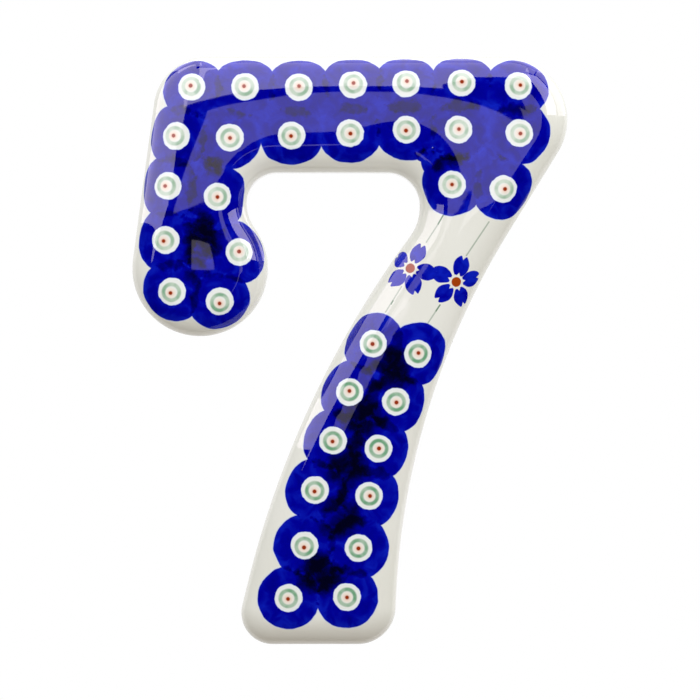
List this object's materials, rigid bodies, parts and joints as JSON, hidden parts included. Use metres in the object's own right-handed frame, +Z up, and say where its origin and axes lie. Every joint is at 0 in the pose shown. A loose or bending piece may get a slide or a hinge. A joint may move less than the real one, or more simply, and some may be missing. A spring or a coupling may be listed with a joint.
{
  "type": "ceramic house number",
  "caption": "Glazed ceramic house number in the shape of a figure seven, with a smooth front, soft shoulders, a hollow inside and holes in its flat back.",
  "frame": {"origin": "on the wall plane, midway between the two hanging holes in the back", "axes": "+Z up as it hangs, +Y into the wall, so the front faces -Y; +X to the right as seen from the front"},
  "size_m": [0.1149, 0.02, 0.1551],
  "materials": {
    "glazed_stoneware": "glossy clear glaze over hand-stamped cobalt blue on an off-white body"
  },
  "bodies": {
    "root": {"number_seven": "glazed_stoneware"}
  },
  "joints": []
}
